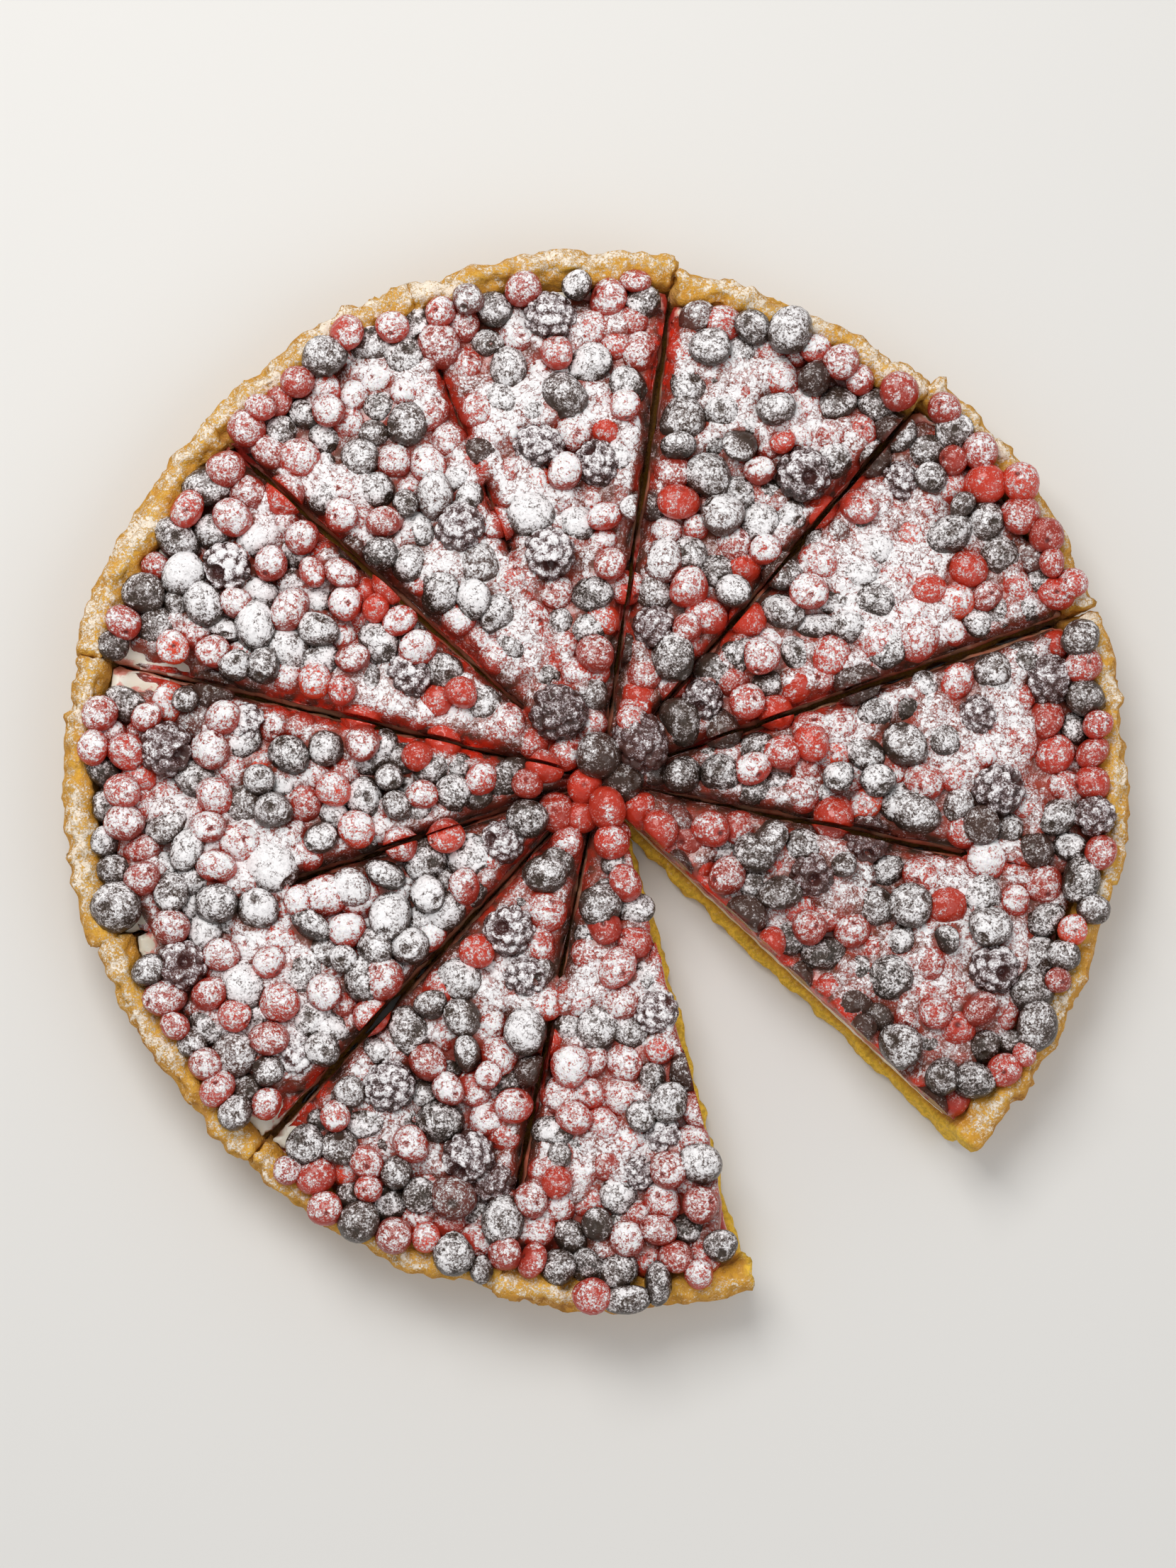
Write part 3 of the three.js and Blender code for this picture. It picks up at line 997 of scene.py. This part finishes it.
def crumble(points, cut_face, open_face, closed_face):
    """How far out the pastry's skin stands at each point, in millimetres."""
    height = points[:, 2]
    flakes = rise(grain(points, 4.5 * MM, 15), 0.1, 0.35)
    flakes += 0.6 * rise(grain(points, 2.8 * MM, 18), 0.15, 0.3)
    on_rim = rise(height, 0.6 * RIM_TOP, 0.9 * RIM_TOP)
    lift = 0.6 * grain(points, 7 * MM, 11) + 0.45 * grain(points, 2.6 * MM, 12)
    lift += cut_face * (0.7 * grain(points, 4.2 * MM, 13) + 0.5 * grain(points, 2.3 * MM, 17))
    lift += open_face * (1.1 * grain(points, 5.5 * MM, 19) + 0.5)
    lift += 0.7 * closed_face * (height < RIM_FOOT)
    return lift + on_rim * (1.1 * grain(points, 3.1 * MM, 14) - 1.2 * flakes + 0.8)


def build_pastry(name, number, material):
    """One portion's shell: a crumbly skin that lies flat on its underside."""
    points, normals, faces = remeshed(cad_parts[name].data.copy(), PASTRY_GRID)
    height = points[:, 2]
    radius = from_hub(points)
    inside = around(rim_inside, points)
    across = abs((normals[:, :2] * unit(points[:, :2] - hub)).sum(1))
    upright = (abs(normals[:, 2]) < 0.7) * fade(across, 0.5, 0.75)
    near_closed = closed_wall_nearness(points, KNIFE_REACH)
    ledge = rise(-depth_in_tart(points), 0.3 * MM, 1.2 * MM) * (radius < inside)
    ledge *= fade(near_closed, 0, 0.3)
    cut_face = wall_nearness(points, KNIFE_REACH) * np.maximum(upright, ledge)
    closed_face = near_closed * upright
    open_face = cut_face * fade(closed_face, 0, 0.3)
    lift = crumble(points, cut_face, open_face, closed_face)
    standing = rise(height, 0.2 * MM, 1.5 * MM)
    moved = points + normals * lift[:, None] * MM * np.c_[np.ones((len(points), 2)), standing]
    moved[:, 2] = np.maximum(moved[:, 2], 0)
    outside = rise(radius, inside + 4 * MM, inside + 8 * MM)
    by_foot = 0.7 - rise(height, 0, 0.25 * RIM_TOP)
    by_edge = np.maximum(rise(height, RIM_FOOT, RIM_TOP), by_foot)
    baked = outside * np.clip(0.35 + 0.65 * by_edge + 0.35 * grain(points, 14 * MM, 20), 0, 1)
    amber = fade(radius, inside + 0.5 * MM, inside + 4 * MM)
    towards_back = (points[:, 1] - hub[1]) / TART_RADIUS
    sugar = (1.0 - 0.4 * amber) * rise(height, RIM_FOOT, 0.9 * RIM_TOP) * open_sky(moved)
    sugar *= 0.55 + 0.15 * towards_back + 0.36 * grain(moved, 8 * MM, 16)
    juice = closed_face * fade(radius, inside - 3 * MM, inside + 3 * MM)
    make_piece(
        f"pastry_{number:02d}", moved, faces, material, "pastry", [name],
        baked=baked, amber=amber * (1 - cut_face), fresh=open_face, sugar=sugar, juice=juice,
    )


def build_cream(name, number, material):
    """One portion's cream: smooth on top, dragged by the knife at its walls."""
    points, normals, faces = remeshed(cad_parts[name].data.copy(), CREAM_GRID)
    height = points[:, 2]
    radius = from_hub(points)
    inside = around(rim_inside, points)
    upright = abs(normals[:, 2]) < 0.7
    on_top = normals[:, 2] > 0.5
    edge = rise(radius, inside - 16 * MM, inside - 4 * MM) * (normals[:, 2] > 0.3)
    lift = edge * (0.5 * grain(points, 7 * MM, 21) + 0.2 * grain(points, 3 * MM, 22))
    lift += wall_nearness(points, 2 * MM) * upright * 0.25 * grain(points * [1, 1, 0.4], 2.2 * MM, 23)
    high = rise(height, 0.5 * CREAM_TOP, CREAM_TOP - 3 * MM)
    soaked = cut_nearness(points, KNIFE_REACH)
    lift += soaked * high * upright * (0.6 + 0.5 * grain(points, 5 * MM, 24))
    moved = points + normals * lift[:, None] * MM
    under = rise(height, CREAM_TOP - 7 * MM, CREAM_TOP)
    inside_heap = rise(around(heap_edge, points) - radius, -5 * MM, 8 * MM)
    stain = np.maximum(wall_nearness(points, 3 * MM) * under, 0.9 * inside_heap * on_top)
    first_wall = fade(from_cut(FIRST_WALL, points), 0, 3 * MM)
    upper = rise(height, CREAM_TOP - 7 * MM, CREAM_TOP - 2 * MM)
    stain = np.maximum(stain, 1.15 * first_wall * upper)
    bare = bareness(points)
    stain *= 1 - 0.7 * bare
    soaked *= 1 - near_stretches(PALE, points, 2 * MM, 4 * MM)
    soaked *= 1 - bare * on_top
    make_piece(
        f"cream_layer_{number:02d}", moved, faces, material, "cream", [name], stain=stain, soaked=soaked
    )


def core_outline(portion):
    """The outline of the jelly under a portion's berries."""
    start, finish = portion.walls
    first, last = [math.atan2(*(wall.end - hub)[::-1]) for wall in (start, finish)]
    arc = first + (last - first) % FULL_TURN * np.linspace(0, 1, 40)
    directions = np.c_[np.cos(arc), np.sin(arc)]
    outer = hub + directions * (around(heap_edge, hub + directions) - 3.5 * MM)[:, None]
    return [portion.tip, start.bend, *outer, finish.bend]


def drift(points):
    """Where sugar drifted into the hollows between the berries, from 0 to 1."""
    flat = points * [1, 1, 0]
    return rise(grain(flat, 11 * MM, 35) + 0.6 * grain(flat, 5 * MM, 36), -0.35, 0.25)


def jelly_slab(number, portion):
    """The points and triangles of one portion's jelly, lumpy and sunk beside the cuts."""
    mesh = prism(core_outline(portion), BERRY_FLOOR - 0.2 * MM, CORE_TOP)
    points, normals, faces = remeshed(mesh, JELLY_GRID)
    radius = from_hub(points)
    edge = rise(around(heap_edge, points) - radius, 2 * MM, 10 * MM)
    top = rise(points[:, 2], BERRY_FLOOR, CORE_TOP)
    lump = (0.8 * grain(points, 6 * MM, 31) + 1.2 * grain(points, 3.4 * MM, 32)) * MM
    sunk = 3.0 * MM * (1 - drift(points)) + 3.5 * MM * (1 - edge)
    sunk += 3.5 * MM * cut_nearness(points, 3 * MM) + 7 * MM * bareness(points)
    moved = points.copy()
    moved[:, 2] += top * (lump - sunk)
    upright = abs(normals[:, 2]) < 0.6
    bulge = (0.5 * grain(points, 3 * MM, 33) + 0.5 * grain(points, 8 * MM, 37)) * MM
    for side, wall in enumerate(portion.walls):
        beside = fade(abs(wall.depth(points)), 0, 1.5 * MM) * upright
        hidden = closed_up(number - 1 + side, radius)
        moved += normals * (beside * np.where(hidden, 1.2 * MM, bulge))[:, None]
    return moved, faces


def build_jelly(material):
    """What holds the berries together: all portions' slabs as one piece."""
    all_points = []
    all_faces = []
    count = 0
    for number, portion in enumerate(portions):
        points, faces = jelly_slab(number, portion)
        all_points.append(points)
        all_faces.append(faces + count)
        count += len(points)
    points = np.concatenate(all_points)
    # cut is 1 at the closed cuts: it carries the jelly's painted shade of the slots and keeps sugar off
    # them. depth marks the lower walls, where that painted shade is lighter.
    cut = cut_nearness(points, 2.2 * MM)
    depth = cut * fade(points[:, 2], CORE_TOP - 6 * MM, CORE_TOP - 2 * MM)
    open_walls = wall_nearness(points, 1.8 * MM) * (cut < 0.01)
    heart = 0.7 * fade(from_hub(points), 6 * MM, 14 * MM)
    juice = np.max([0.6 * open_walls, heart, juiciness(points)], axis=0)
    sugar = 1.08 * sugar_fall(points) * open_sky(points) * (0.4 + 0.6 * drift(points))
    sugar *= (1 - 0.8 * juice) * (1 - 0.9 * cut)
    make_piece(
        "jelly", points, np.concatenate(all_faces), material, "berries",
        sugar=sugar, juice=juice, cut=cut, depth=depth,
    )


# ---- the berries ----

# The small berries' forms: the angles of their rings of points, how oval and lumpy they
# are, and how high and wide the blossom end's marks are, as shares of the radius.
ROUND_SEGMENTS = 18
RED_FORM = {
    "rings": np.radians([5, 10, 16, 26, 42, 60, 78, 96, 114, 134, 156]),
    "oval": 0.075, "lumps": 0.062, "mark_width": 0.17,
    "dimple": 0.09, "dimple_width": 0.16, "crown": 0.03, "crown_angle": 0.24,
}
DARK_FORM = {
    "rings": np.radians([7, 14, 20, 27, 40, 58, 76, 94, 114, 134, 156]),
    "oval": 0.10, "lumps": 0.078, "mark_width": 0.3,
    "dimple": 0.12, "dimple_width": 0.26, "crown": 0.055, "crown_angle": 0.34,
}


def chosen_of(kind):
    """The shares that are berries of a kind."""
    return np.flatnonzero(kinds[share_berry] == kind)


def lumps_of(directions, number, height):
    """Low, broad lumps over each of a number of berries."""
    total = np.zeros((number, len(directions)))
    for wave in range(1, 5):
        axes = unit(rng.normal(size=(number, 3)))
        phase = rng.uniform(0, FULL_TURN, (number, 1))
        total += np.sin((1.2 + wave) * (axes @ directions.T) + phase) / wave
    return height * total


def blossom_poles(number, upward_share):
    """Which way each berry's blossom end points."""
    poles = unit(rng.normal(size=(number, 3)))
    upward = rng.random(number) < upward_share
    tilted = unit(np.array([0, 0, 1]) + 0.55 * rng.normal(size=(number, 3)))
    return np.where(upward[:, None], tilted, poles)


def place_berries(directions, distance, chosen, poles, squash):
    """The vertices of all berries of a kind, by berry, vertex and axis, and how far
    slicing moved each."""
    number = len(chosen)
    size = radii[share_berry[chosen]]
    shaped = directions[None] * distance[..., None] * squash[:, None]
    rotations = turned_to(poles, rng.uniform(0, FULL_TURN, number))
    spun = np.einsum("nij,nvj->nvi", rotations, shaped)
    points = spun * size[:, None, None] + share_place[chosen][:, None]
    return slice_flat(points, chosen)


def dusting(points, chosen):
    """The sugar on each vertex: what fell there, more or less from berry to berry, and
    little on wet ones."""
    number = len(chosen)
    flat = points.reshape(-1, 3)
    fall = sugar_fall(flat) * open_sky(flat)
    luck = rng.normal(0.0, 0.09, (number, 1))
    kept = np.where(share_wet[chosen], 0.45, 1)[:, None]
    return np.clip(fall.reshape(number, -1) + luck, 0, 1) * kept


def berries_of(kind, sphere, distance, poles, squash, mark, clean, tones):
    """The points, triangles and kept numbers of all berries of a kind: placed, sliced,
    toned by the two numbers of a beta distribution, dusted where they are clean, and wet
    by the cuts and the hub."""
    chosen = chosen_of(kind)
    number = len(chosen)
    directions, faces = sphere
    count = len(directions)
    points, moved = place_berries(directions, distance, chosen, poles, squash)
    tone = rng.beta(*tones, (number, 1)) * np.ones((1, count))
    flesh = rise(moved, 0.05 * MM, 0.5 * MM)
    sugar = dusting(points, chosen) * clean * (1 - flesh)
    near_hub = 0.7 * fade(from_hub(share_place[chosen]), 8 * MM, 30 * MM)
    wet = np.repeat(np.maximum(share_wet[chosen], near_hub), count)
    all_faces = faces + count * np.arange(number)[:, None, None]
    values = {"tone": tone, "mark": mark, "flesh": flesh, "sugar": sugar, "wet": wet}
    return points.reshape(-1, 3), all_faces.reshape(-1, 3), values


def build_round_berries(name, kind, material, form, replaced=()):
    """All small berries of one kind as one piece."""
    number = len(chosen_of(kind))
    sphere = ball(form["rings"], ROUND_SEGMENTS)
    directions = sphere[0]
    polar = np.arccos(np.clip(directions[:, 2], -1, 1))
    turn = np.arctan2(directions[:, 1], directions[:, 0])
    distance = 1 + lumps_of(directions, number, form["lumps"])
    distance -= form["dimple"] * np.exp(-(polar / form["dimple_width"]) ** 2)
    star = 1 + 0.35 * np.cos(5 * turn)
    distance += form["crown"] * star * np.exp(-((polar - form["crown_angle"]) / 0.07) ** 2)
    oval = form["oval"]
    squash = np.c_[rng.normal(1, oval, (number, 2)), rng.normal(0.98, 1.5 * oval, number)]
    poles = blossom_poles(number, upward_share=0.3)
    mark = np.exp(-(polar / form["mark_width"]) ** 4)[None] * np.ones((number, 1))
    clean = 1 - 0.6 * mark
    points, faces, values = berries_of(kind, sphere, distance, poles, squash, mark, clean, (1.6, 1.6))
    make_piece(name, points, faces, material, "berries", replaced, **values)


# The fewest drupelets on a bramble, and one more than the most.
DRUPELETS = (38, 54)


def drupelet_centres(number):
    """Evenly spread directions for a bramble's drupelets, a little disturbed."""
    step = np.arange(number) + 0.5
    height = 1 - 2 * step / number
    turn = step * math.pi * (3 - math.sqrt(5))
    ring = np.sqrt(1 - height ** 2)
    even = np.c_[ring * np.cos(turn), ring * np.sin(turn), height]
    return unit(even + rng.normal(0, 0.045, even.shape))


def build_brambles(material):
    """All brambles as one piece: each a cluster of drupelets, some showing the hollow
    where the stalk was."""
    number = len(chosen_of(BRAMBLE))
    sphere = fine_ball(subdivisions=5)
    directions = sphere[0]
    distance = np.empty((number, len(directions)))
    valley = np.empty_like(distance)
    for i in range(number):
        centres = drupelet_centres(int(rng.integers(*DRUPELETS)))
        spacing = math.sqrt(4 * math.pi / len(centres))
        nearest = np.arccos(np.clip((directions @ centres.T).max(1), -1, 1))
        dome = np.sqrt(np.clip(1 - (nearest / (0.61 * spacing)) ** 2, 0, 1))
        distance[i] = 0.81 + 0.21 * dome
        valley[i] = 1 - dome
    polar = np.arccos(np.clip(directions[:, 2], -1, 1))
    hollow = fade(polar, 0.2, 0.42)
    poles = blossom_poles(number, upward_share=0.45)
    distance *= 1 - 0.42 * hollow
    distance *= 1 + lumps_of(directions, number, height=0.012)
    squash = np.c_[rng.normal(0.97, 0.03, (number, 2)), rng.normal(1.02, 0.06, number)]
    mark = np.clip(hollow[None] + 0.35 * valley, 0, 1)
    clean = (1 - 0.45 * valley) * (1 - 0.8 * hollow[None])
    points, faces, values = berries_of(BRAMBLE, sphere, distance, poles, squash, mark, clean, (1.2, 2.4))
    make_piece("brambles", points, faces, material, "bramble", BRAMBLES, **values)


# ---- building it all ----

pastry_finish = pastry_material()
cream_finish = cream_material()
for number, (crust_name, cream_name) in enumerate(zip(CRUSTS, CREAMS), 1):
    build_pastry(crust_name, number, pastry_finish)
    build_cream(cream_name, number, cream_finish)
build_jelly(jelly_material())
build_round_berries("red_berries", RED, red_berry_material(), RED_FORM, HEAPS)
build_round_berries("dark_berries", DARK, dark_berry_material(), DARK_FORM)
build_brambles(bramble_material())


# ---- studio ----

def direction_to(azimuth, elevation):
    """The direction at an azimuth, in degrees from the front round to the right, and an
    elevation."""
    azimuth = math.radians(azimuth)
    elevation = math.radians(elevation)
    return Vector((
        math.sin(azimuth) * math.cos(elevation),
        -math.cos(azimuth) * math.cos(elevation),
        math.sin(elevation),
    ))


def build_floor():
    """A plain pale floor under the tart."""
    half = 3.0
    mesh = bpy.data.meshes.new("floor")
    corners = [(-half, -half, 0), (half, -half, 0), (half, half, 0), (-half, half, 0)]
    mesh.from_pydata(corners, [], [(0, 1, 2, 3)])
    floor = add_object("floor", mesh)
    nodes = Nodes("floor_finish")
    nodes.tone = (0.66, 0.65, 0.63)
    nodes.surface(roughness=0.8)
    mesh.materials.append(nodes.material)


def add_light(name, azimuth, elevation, distance, size, power, tint):
    """A square soft light that faces the tart."""
    lamp = bpy.data.lights.new(name, "AREA")
    lamp.size = size
    lamp.energy = power
    lamp.color = tint
    light = add_object(name, lamp)
    direction = direction_to(azimuth, elevation)
    light.location = direction * distance
    light.rotation_euler = direction.to_track_quat("Z", "Y").to_euler()


def build_lights():
    """A soft key from the back left, a weak fill from the right and an even surround."""
    add_light(
        "key", azimuth=-150, elevation=58, distance=1.1, size=0.55, power=8.2, tint=(1.0, 0.985, 0.96)
    )
    add_light("fill", azimuth=60, elevation=50, distance=1.3, size=0.9, power=2.6, tint=(0.97, 0.985, 1.0))
    world = bpy.data.worlds.new("surround")
    world.use_nodes = True
    set_inputs(world.node_tree.nodes["Background"], Color=(1, 1, 1, 1), Strength=0.57)
    bpy.context.scene.world = world


# The azimuth and elevation of the photo's view, and what it takes in.
VIEW_DIRECTION = (-35, 85)
VIEW_DISTANCE = 0.95
VIEW_HEIGHT = 0.413
VIEW_SHIFT = Vector((-3.1 * MM, -1.9 * MM, 22 * MM))


def build_camera():
    """Nearly straight down, from a little to the lower left of the picture."""
    data = bpy.data.cameras.new("camera")
    data.sensor_width = 36
    data.lens = data.sensor_width * VIEW_DISTANCE / VIEW_HEIGHT
    data.clip_start = 0.01
    camera = add_object("camera", data)
    target = Vector((*hub, 0)) + VIEW_SHIFT
    back = direction_to(*VIEW_DIRECTION)
    right = Vector((0, 1, 0)).cross(back).normalized()
    up = back.cross(right)
    turn = Matrix((right, up, back)).transposed()
    camera.matrix_world = Matrix.Translation(target + back * VIEW_DISTANCE) @ turn.to_4x4()
    bpy.context.scene.camera = camera


build_floor()
build_lights()
build_camera()
bpy.context.scene.view_settings.view_transform = "Standard"
